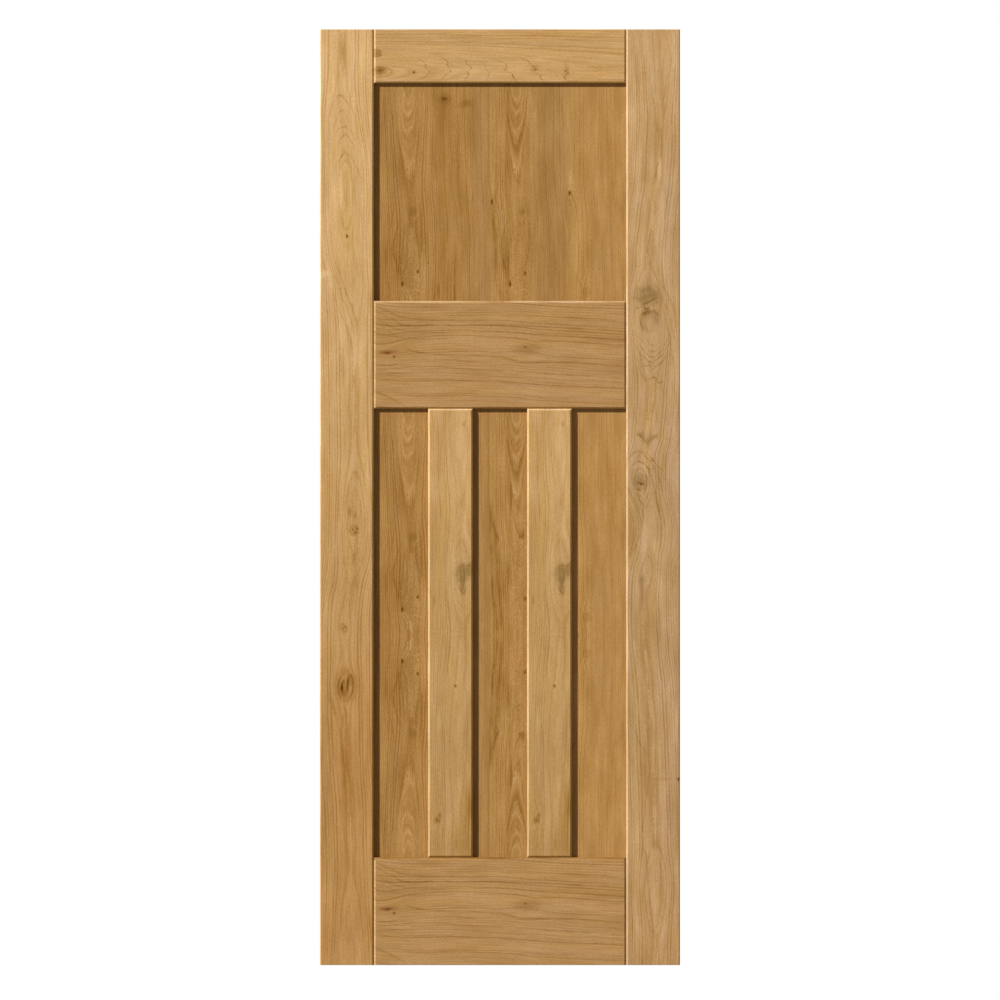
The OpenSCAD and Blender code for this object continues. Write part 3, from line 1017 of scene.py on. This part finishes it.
    def stain_lines(self):
        """Stains the lines along the grain and across it, single growth rings, and curled grain."""
        board, u, v = self.board, self.u, self.v
        near_v = self.shaken(v, STREAK_SHAKE)
        near_u = self.shaken(u, WAVE_SHAKE)
        for streak in board.streaks:
            self.stain("brown", self.trace(u, near_v, streak, STREAK_FADE, "AUTO"))
        for wave in board.waves:
            self.stain("brown", self.trace(v, near_u, wave, WAVE_FADE, "VECTOR"))
        for contour in board.contours:
            line = gauss(self.rings, contour.level, contour.width) * gauss(u, contour.along, contour.length)
            self.stain("brown", line * self.broken * contour.density)
        if board.curls:
            height = self.noise(CURL) * CURL_LINES + self.ragged * CURL_RAGGED
            band = (height.fract() * 2.0 - 1.0).abs()
            curled = total((-oval(u, v, curl)).exp() * curl.rise for curl in board.curls)
            self.stain("brown", (CURL_MEAN - band.smooth(*CURL_RANGE)) * curled)
        if board.strips:
            self.stain("brown", self.by_strip("density"))
            self.stain("ash", self.by_strip("ash"))

    def paint_edge_light_and_shade(self, finish, lies, x, z):
        """Paints light and shade on the edges: a highlight on the bevels that face up or aside, towards the
        lamps, a shade tint on the other bevels, and shade on the sides of the recesses and on the bottom
        rail's top bevel.
        """
        normal = self.tree.node("ShaderNodeNewGeometry", {}, {}, output="True Normal")
        aside, out, up = self.tree.split(normal)
        facing = out.abs()
        sloped = facing.smooth(*BEVEL_RANGE)
        bevel = (1.0 - facing.smooth(*FACE_RANGE)) * sloped
        lamp_facing = (aside * out + up * facing).smooth(*LAMP_FACING_RANGE)
        within = (LEAF_RIGHT / MM - EDGE_MARGIN - x.abs()).above(0.0)
        inside = within * (LEAF_TOP / MM - EDGE_MARGIN - z).above(0.0) * z.above(EDGE_MARGIN)
        # Painted shade on the sides of the recesses, away from the leaf's outer edges
        self.stain("brown", (1.0 - sloped) * inside * finish.painted_recess_shade)
        # Painted shade on the bottom rail's top bevel, which loses its painted highlight
        if lies == "X":
            sill_top = BOTTOM_RAIL_TOP / MM
            sill = z.above(sill_top - SILL_BELOW) * (1.0 - z.above(sill_top + SILL_ABOVE))
            self.stain("brown", bevel * sill * finish.painted_sill_shade)
            bevel = bevel * (1.0 - sill)
        # Painted highlight on the bevels that face up or aside, towards the lamps
        self.stain("pale", bevel * lamp_facing * -finish.painted_bevel_highlight)
        # Painted shade tint, warmer and lighter, on the bevels that face away from the lamps
        self.stain("shade_tint", bevel * (1.0 - lamp_facing) * -finish.painted_shade_tint)


def oak(name, board, finish, lies, start, edge, face, length, mirror=None):
    """An oak material for one board.

    lies is X or Z, the way its grain runs. start and edge are where its along and across places are counted
    from, in metres, or the places either side of a split. face is its front face. mirror folds the places
    back at that distance along.
    """
    material, tree = new_material(name)
    x, y, z = tree.split(tree.place())
    if lies == "Z":
        u, v = pick(z, start) - z, x - pick(x, edge)
    else:
        u, v = x - pick(x, start), pick(z, edge) - z
    if mirror:
        u = mirror - (u - mirror).abs()
    figure = OakFigure(tree, board, u, v, (y - face / MM).largest(0.0))
    figure.stain_grain()
    figure.stain_knots()
    figure.stain_lines()
    figure.paint_edge_light_and_shade(finish, lies, x, z)
    tone = tree.node(
        "ShaderNodeValToRGB",
        {"stops": [(at, getattr(finish, colour)) for at, colour in board.tones]},
        {"Fac": u / length},
        output="Color",
    )
    tree.surface(
        Base_Color=tree.times(tone, tree.left_light(figure.density)),
        Roughness=finish.roughness + figure.hair * HAIR_ROUGHNESS + figure.pore * PORE_ROUGHNESS,
        Specular_IOR_Level=finish.sheen,
        Normal=tree.bump(figure.noise(RELIEF), GRAIN_STRENGTH),
    )
    return material


def beech(name, finish):
    """Plain beech for the dowels: pale, with short brown flecks."""
    material, tree = new_material(name)
    place = tree.place()
    cloud_shift, fleck_shift = BEECH_SHIFTS
    cloud = tree.noise(place, BEECH_CLOUD, cloud_shift)
    fleck = tree.noise(place, BEECH_FLECK, fleck_shift).smooth(*BEECH_FLECK_RANGE)
    density = {"brown": cloud * BEECH_CLOUD_STAIN + fleck * BEECH_FLECK_STAIN}
    tree.surface(
        Base_Color=tree.times((*finish.dowel,), tree.left_light(density)),
        Roughness=BEECH_ROUGHNESS + fleck * BEECH_FLECK_ROUGHNESS,
        Specular_IOR_Level=BEECH_SHEEN,
        Normal=tree.bump(fleck, BEECH_STRENGTH),
    )
    return material


def length_property(name, description, default, least=0.0):
    """A length that the user can change, in metres."""
    return FloatProperty(name=name, description=description, default=default, min=least, unit="LENGTH")


def colour_property(name, description, level):
    """A colour that the user can change, given as screen levels."""
    return FloatVectorProperty(
        name=name, description=description, default=srgb(*level), size=3, min=0.0, max=1.0, subtype="COLOR"
    )


def share_property(name, description, default):
    """A share from 0 to 1 that the user can change."""
    return FloatProperty(
        name=name, description=description, default=default, min=0.0, max=1.0, subtype="FACTOR"
    )


def strength_property(name, description, default):
    """A strength that the user can change, with no upper limit."""
    return FloatProperty(name=name, description=description, default=default, min=0.0)


class LeafSizes(PropertyGroup):
    """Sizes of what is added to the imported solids."""

    arris: length_property("Softened arris", "How far the sharp edges of the faces are sanded back", 0.8 * MM)
    flutes: IntProperty(
        name="Dowel flutes", description="Number of flutes round each dowel", default=20, min=6, max=40
    )
    flute_depth: length_property("Flute depth", "Depth of each flute in a dowel", 0.5 * MM)
    dowel_chamfer: length_property("Dowel chamfer", "Chamfer at both ends of a dowel", 1.5 * MM)


class LeafFinish(PropertyGroup):
    """Colours and sheen of the timber."""

    stile_head: colour_property("Left stile head", "Oak at the head of the left stile", (210, 170, 115))
    stile_middle: colour_property("Left stile middle", "Oak halfway down the left stile", (196, 157, 103))
    stile_low: colour_property("Left stile low", "Oak low on the left stile", (175, 132, 76))
    stile_foot: colour_property("Left stile foot", "Oak at the foot of the left stile", (181, 137, 81))
    right_stile_head: colour_property(
        "Right stile head", "Oak at the head of the right stile", (191, 153, 103)
    )
    right_stile_middle: colour_property(
        "Right stile middle", "Oak halfway down the right stile", (182, 146, 100)
    )
    right_stile_foot: colour_property(
        "Right stile foot", "Oak at the foot of the right stile", (180, 142, 94)
    )
    top_rail: colour_property("Top rail", "Oak of the top rail", (194, 154, 100))
    wide_rail: colour_property("Wide rails", "Oak of the middle and bottom rails", (175, 135, 85))
    muntin_head: colour_property("Muntin head", "Oak at the head of the muntins", (194, 154, 99))
    muntin_middle: colour_property("Muntin middle", "Oak at the middle of the muntins", (184, 146, 92))
    muntin_foot: colour_property("Muntin foot", "Oak at the foot of the muntins", (176, 137, 84))
    panel: colour_property("Panels", "Oak veneer of the panels", (168, 126, 70))
    dowel: colour_property("Dowels", "Beech of the dowels", (216, 183, 140))
    # Strength of the painted highlight on the bevels that face the lamps
    painted_bevel_highlight: share_property("Pale edges", "How much paler the sanded bevels are than the faces", 0.24)
    # Strength of the painted shade tint on the bevels that face away from the lamps
    painted_shade_tint: share_property("Warm edges", "How much warmer the other bevels are than the faces", 0.22)
    # Strength of the painted shade on the sides of the recesses
    painted_recess_shade: strength_property("Dark recesses", "How much darker the sides of the recesses are", 0.6)
    # Strength of the painted shade on the bottom rail's top bevel
    painted_sill_shade: strength_property("Dark sill", "How much darker the bottom rail's top bevel is", 0.36)
    roughness: share_property("Roughness", "How matt the lacquer is", 0.5)
    sheen: share_property("Sheen", "Strength of the lacquer's reflection", 0.05)


class LeafStage(PropertyGroup):
    """Light, floor and camera."""

    key: strength_property("Key light", "Strength of the light from the upper left front", 4.86)
    back: strength_property("Back light", "Strength of the light on the back of the leaf", 3.2)
    fill: strength_property("Fill light", "Strength of the light from all round", 0.205)
    view_height: length_property("View height", "Height of leaf and margin in the picture", 2.117, 0.1)
    eye_height: length_property("Eye height", "Height of the camera's axis", 0.9846)
    floor_size: length_property("Floor size", "Length of each side of the floor", 14.0, 1.0)


def stand_for(node, name, mesh):
    """A piece made of the mesh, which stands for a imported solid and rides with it."""
    mesh.name = name
    piece = bpy.data.objects.new(name, mesh)
    bpy.context.scene.collection.objects.link(piece)
    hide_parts(node)
    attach(piece, "root")


def dressed_board(node, material, arris):
    """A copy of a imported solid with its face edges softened, standing for that solid."""
    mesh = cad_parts[node].data.copy()
    mesh.materials.clear()
    mesh.materials.append(material)
    shape = bmesh.new()
    shape.from_mesh(mesh)
    bmesh.ops.remove_doubles(shape, verts=shape.verts, dist=WELD)
    bmesh.ops.dissolve_limit(
        shape, angle_limit=FLAT_ANGLE, verts=shape.verts, edges=shape.edges, use_dissolve_boundaries=False
    )
    # The face edges lie near the face; the edges of grooves and bores lie deeper and stay sharp
    outer = max(abs(vertex.co.y) for vertex in shape.verts) * FACE_SHARE
    edges = [
        edge for edge in shape.edges
        if all(abs(vertex.co.y) > outer for vertex in edge.verts) and len(edge.link_faces) == 2
        and edge.calc_face_angle(0.0) > SHARP_ANGLE
    ]
    bmesh.ops.bevel(
        shape, geom=edges, offset=arris, segments=ARRIS_FACES, affect="EDGES", profile=0.5, clamp_overlap=True
    )
    shape.to_mesh(mesh)
    shape.free()
    for polygon in mesh.polygons:
        polygon.use_smooth = False
        polygon.material_index = 0
    stand_for(node, node + "_oak", mesh)


class DOORLEAF_OT_stiles(Operator):
    """Dresses the two stiles"""

    bl_idname = "door_leaf.stiles"
    bl_label = "Dress stiles"

    def execute(self, context):
        finish = context.scene.door_leaf_finish
        arris = context.scene.door_leaf_sizes.arris
        height = LEAF_TOP / MM
        for node, board, edge in (
            ("left_stile", LEFT_STILE, LEAF_LEFT),
            ("right_stile", RIGHT_STILE, OPENING_RIGHT),
        ):
            material = oak(node + "_oak", board, finish, "Z", LEAF_TOP, edge, FRAME_FACE, height)
            dressed_board(node, material, arris)
        return {"FINISHED"}


class DOORLEAF_OT_rails(Operator):
    """Dresses the top, middle and bottom rails"""

    bl_idname = "door_leaf.rails"
    bl_label = "Dress rails"

    def execute(self, context):
        finish = context.scene.door_leaf_finish
        arris = context.scene.door_leaf_sizes.arris
        width = (OPENING_RIGHT - OPENING_LEFT) / MM
        tops = (BOTTOM_RAIL_TOP, (BOTTOM_RAIL_TOP + LOWER_OPENING_TOP) / 2, MIDDLE_RAIL_TOP)
        narrow = oak("top_rail_oak", TOP_RAIL, finish, "X", OPENING_LEFT, LEAF_TOP, FRAME_FACE, width)
        wide = oak("wide_rail_oak", WIDE_RAIL, finish, "X", OPENING_LEFT, tops, FRAME_FACE, width)
        dressed_board("top_rail", narrow, arris)
        dressed_board("middle_rail", wide, arris)
        dressed_board("bottom_rail", wide, arris)
        return {"FINISHED"}


class DOORLEAF_OT_muntins(Operator):
    """Dresses the two muntins"""

    bl_idname = "door_leaf.muntins"
    bl_label = "Dress muntins"

    def execute(self, context):
        finish = context.scene.door_leaf_finish
        arris = context.scene.door_leaf_sizes.arris
        height = (LOWER_OPENING_TOP - BOTTOM_RAIL_TOP) / MM
        edges = (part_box("left_muntin")[0].x, 0.0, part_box("right_muntin")[0].x)
        material = oak("muntin_oak", MUNTIN, finish, "Z", LOWER_OPENING_TOP, edges, FRAME_FACE, height)
        dressed_board("left_muntin", material, arris)
        dressed_board("right_muntin", material, arris)
        return {"FINISHED"}


class DOORLEAF_OT_panels(Operator):
    """Dresses the top panel and the three lower panels in veneer"""

    bl_idname = "door_leaf.panels"
    bl_label = "Dress panels"

    def execute(self, context):
        finish = context.scene.door_leaf_finish
        arris = context.scene.door_leaf_sizes.arris
        tops = (LOWER_OPENING_TOP, (MIDDLE_RAIL_TOP + LOWER_OPENING_TOP) / 2, TOP_OPENING_TOP)
        shared = oak("panel_veneer", VENEER, finish, "Z", tops, OPENING_LEFT, PANEL_FACE, FOLD, FOLD)
        centre = oak("centre_veneer", CENTRE_VENEER, finish, "Z", tops, OPENING_LEFT, PANEL_FACE, FOLD, FOLD)
        for node in ("top_panel", "lower_left_panel", "lower_right_panel"):
            dressed_board(node, shared, arris)
        dressed_board("lower_centre_panel", centre, arris)
        return {"FINISHED"}


def dowel_group(material):
    """A node group for a row of fluted dowels with chamfered ends."""
    group = bpy.data.node_groups.new("Fluted dowels", "GeometryNodeTree")
    group.is_modifier = True
    group.interface.new_socket("Geometry", in_out="OUTPUT", socket_type="NodeSocketGeometry")
    kinds = {
        "Radius": "NodeSocketFloat",
        "Length": "NodeSocketFloat",
        "Chamfer": "NodeSocketFloat",
        "Flutes": "NodeSocketInt",
        "Flute depth": "NodeSocketFloat",
        "Count": "NodeSocketInt",
        "First": "NodeSocketVector",
        "Step": "NodeSocketVector",
        "Turn": "NodeSocketVector",
    }
    for name, kind in kinds.items():
        group.interface.new_socket(name, in_out="INPUT", socket_type=kind)

    tree = Tree(group)
    radius, length, chamfer, flutes, flute_depth, count, first, step, turn = tree.node(
        "NodeGroupInput", {}, {}, output=list(kinds)
    )
    tube = tree.node(
        "GeometryNodeMeshCylinder",
        {"fill_type": "NGON"},
        {"Vertices": flutes * FLUTE_POINTS, "Side Segments": 3, "Radius": radius, "Depth": length},
    )
    x, y, z = tree.split(tree.node("GeometryNodeInputPosition"))
    hollow = (y.arctan2(x) * flutes).cos().largest(0.0) * flute_depth
    # The end rings are drawn in by the chamfer, and the rings between them stand a chamfer short of the ends
    at_end = z.abs().above(length * END_SHARE)
    share = (radius - hollow.largest(at_end * chamfer)) / radius
    shoulder = z.sign() * ((length - chamfer * 2.0) * 0.5)
    height = tree.node(
        "GeometryNodeSwitch", {"input_type": "FLOAT"}, {"Switch": at_end, "False": shoulder, "True": z}
    )
    moved = tree.vector(x * share, y * share, height)
    fluted = tree.node("GeometryNodeSetPosition", {}, {"Geometry": tube, "Position": moved})
    row = tree.node(
        "GeometryNodeMeshLine", {"mode": "OFFSET"}, {"Count": count, "Start Location": first, "Offset": step}
    )
    turned = tree.node("FunctionNodeEulerToRotation", {}, {0: turn})
    placed = tree.node(
        "GeometryNodeInstanceOnPoints", {}, {"Points": row, "Instance": fluted, "Rotation": turned}
    )
    real = tree.node("GeometryNodeRealizeInstances", {}, {"Geometry": placed})
    painted = tree.node("GeometryNodeSetMaterial", {}, {"Geometry": real, "Material": material})
    tree.node("NodeGroupOutput", {}, {0: painted}, output=[])
    return group


def dowel_row(group, node, sizes):
    """A row of fluted dowels in the places of one packed group of plain ones."""
    low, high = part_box(node)
    size = high - low
    upright = "muntin" in node
    radius = size.y / 2
    run = (size.x if upright else size.z) - 2 * radius
    # Rail joints other than the top rail's hold a dowel midway too
    count = 2 if upright or node.startswith("top_rail") else 3
    direction = Vector((1, 0, 0)) if upright else Vector((0, 0, 1))
    values = {
        "Radius": radius,
        "Length": size.z if upright else size.x,
        "Chamfer": sizes.dowel_chamfer,
        "Flutes": sizes.flutes,
        "Flute depth": sizes.flute_depth,
        "Count": count,
        "First": (low + high) / 2 - direction * run / 2,
        "Step": direction * run / (count - 1),
        "Turn": (0.0, 0.0, 0.0) if upright else (0.0, math.pi / 2, 0.0),
    }
    maker = bpy.data.objects.new(node + "_maker", bpy.data.meshes.new(node + "_maker"))
    bpy.context.scene.collection.objects.link(maker)
    modifier = maker.modifiers.new("Fluted dowels", "NODES")
    modifier.node_group = group
    for item in group.interface.items_tree:
        if item.in_out == "INPUT":
            modifier[item.identifier] = values[item.name]
    bpy.context.view_layer.update()
    graph = bpy.context.evaluated_depsgraph_get()
    mesh = bpy.data.meshes.new_from_object(maker.evaluated_get(graph))
    if not mesh.polygons:
        raise RuntimeError("no dowels were made for " + node)
    bpy.data.objects.remove(maker)
    stand_for(node, node + "_beech", mesh)


class DOORLEAF_OT_dowels(Operator):
    """Makes the fluted dowels inside the joints"""

    bl_idname = "door_leaf.dowels"
    bl_label = "Make dowels"

    def execute(self, context):
        group = dowel_group(beech("dowel_beech", context.scene.door_leaf_finish))
        for node in sorted(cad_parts):
            if node.endswith("_dowels"):
                dowel_row(group, node, context.scene.door_leaf_sizes)
        return {"FINISHED"}


def sun(name, strength, towards, spread):
    """A lamp far away that shines along the given direction."""
    lamp = bpy.data.lights.new(name, "SUN")
    lamp.energy = strength
    lamp.angle = spread
    body = bpy.data.objects.new(name, lamp)
    body.rotation_mode = "QUATERNION"
    body.rotation_quaternion = Vector(towards).to_track_quat("-Z", "Y")
    bpy.context.scene.collection.objects.link(body)


def soft_fill(strength):
    """A world that lights the leaf warmly from all round and shows as white."""
    world = bpy.data.worlds.new("soft_fill")
    world.use_nodes = True
    tree = Tree(world.node_tree)
    warm = (*(strength * part for part in WARM_WHITE), 1.0)
    colour = tree.node(
        "ShaderNodeMix",
        {"data_type": "RGBA"},
        {"A": warm, "B": WHITE, "Factor": tree.straight_look()},
        output="Result",
    )
    background = tree.node("ShaderNodeBackground", {}, {"Color": colour})
    tree.node("ShaderNodeOutputWorld", {}, {"Surface": background}, output=[])
    return world


def floor_material():
    """A white floor that keeps the leaf's shadow and throws little light back on the leaf."""
    material, tree = new_material("floor_white")
    white = tree.node("ShaderNodeBsdfDiffuse", {}, {"Color": FLOOR_WHITE})
    glow = tree.node("ShaderNodeEmission", {}, {"Color": WHITE, "Strength": FLOOR_GLOW})
    bright = tree.node("ShaderNodeAddShader", {}, {0: white, 1: glow})
    dull = tree.node("ShaderNodeBsdfDiffuse", {}, {"Color": FLOOR_DULL})
    mixed = tree.node("ShaderNodeMixShader", {}, {0: tree.straight_look(), 1: dull, 2: bright})
    tree.node("ShaderNodeOutputMaterial", {}, {"Surface": mixed}, output=[])
    return material


def lay_floor(size):
    """A square floor under the leaf."""
    half = size / 2
    mesh = bpy.data.meshes.new("floor")
    corners = [(-half, -half, 0.0), (half, -half, 0.0), (half, half, 0.0), (-half, half, 0.0)]
    mesh.from_pydata(corners, [], [(0, 1, 2, 3)])
    mesh.materials.append(floor_material())
    floor = bpy.data.objects.new("floor", mesh)
    bpy.context.scene.collection.objects.link(floor)


def front_camera(view_height, eye_height):
    """A camera that looks straight at the front, without perspective."""
    lens = bpy.data.cameras.new("front_view")
    lens.type = "ORTHO"
    lens.ortho_scale = view_height
    lens.clip_end = CAMERA_REACH
    camera = bpy.data.objects.new("front_view", lens)
    camera.location = (0.0, -CAMERA_DISTANCE, eye_height)
    camera.rotation_euler = (math.pi / 2, 0.0, 0.0)
    bpy.context.scene.collection.objects.link(camera)
    return camera


class DOORLEAF_OT_stage(Operator):
    """Makes the floor, the light and the camera"""

    bl_idname = "door_leaf.stage"
    bl_label = "Make stage"

    def execute(self, context):
        scene = context.scene
        stage = scene.door_leaf_stage
        scene.view_settings.view_transform = "Standard"
        sun("key_light", stage.key, KEY_DIRECTION, KEY_SPREAD)
        sun("back_light", stage.back, BACK_DIRECTION, BACK_SPREAD)
        scene.world = soft_fill(stage.fill)
        lay_floor(stage.floor_size)
        scene.camera = front_camera(stage.view_height, stage.eye_height)
        return {"FINISHED"}


class DOORLEAF_PT_sidebar(Panel):
    """The leaf's settings and steps in the sidebar"""

    bl_idname = "DOORLEAF_PT_sidebar"
    bl_label = "Door leaf"
    bl_space_type = "VIEW_3D"
    bl_region_type = "UI"
    bl_category = "Door leaf"

    def draw(self, context):
        scene = context.scene
        for group in (scene.door_leaf_sizes, scene.door_leaf_finish, scene.door_leaf_stage):
            column = self.layout.column(align=True)
            for key in group.bl_rna.properties.keys():
                if key not in {"rna_type", "name"}:
                    column.prop(group, key)
        for step in STEPS:
            self.layout.operator(step.bl_idname)


STEPS = (
    DOORLEAF_OT_stiles,
    DOORLEAF_OT_rails,
    DOORLEAF_OT_muntins,
    DOORLEAF_OT_panels,
    DOORLEAF_OT_dowels,
    DOORLEAF_OT_stage,
)
CLASSES = (LeafSizes, LeafFinish, LeafStage, *STEPS, DOORLEAF_PT_sidebar)


def register():
    for each in CLASSES:
        bpy.utils.register_class(each)
    bpy.types.Scene.door_leaf_sizes = PointerProperty(type=LeafSizes)
    bpy.types.Scene.door_leaf_finish = PointerProperty(type=LeafFinish)
    bpy.types.Scene.door_leaf_stage = PointerProperty(type=LeafStage)


def unregister():
    del bpy.types.Scene.door_leaf_stage
    del bpy.types.Scene.door_leaf_finish
    del bpy.types.Scene.door_leaf_sizes
    for each in reversed(CLASSES):
        bpy.utils.unregister_class(each)


def main():
    register()
    bpy.ops.door_leaf.stiles()
    bpy.ops.door_leaf.rails()
    bpy.ops.door_leaf.muntins()
    bpy.ops.door_leaf.panels()
    bpy.ops.door_leaf.dowels()
    bpy.ops.door_leaf.stage()


if __name__ == "__main__":
    main()
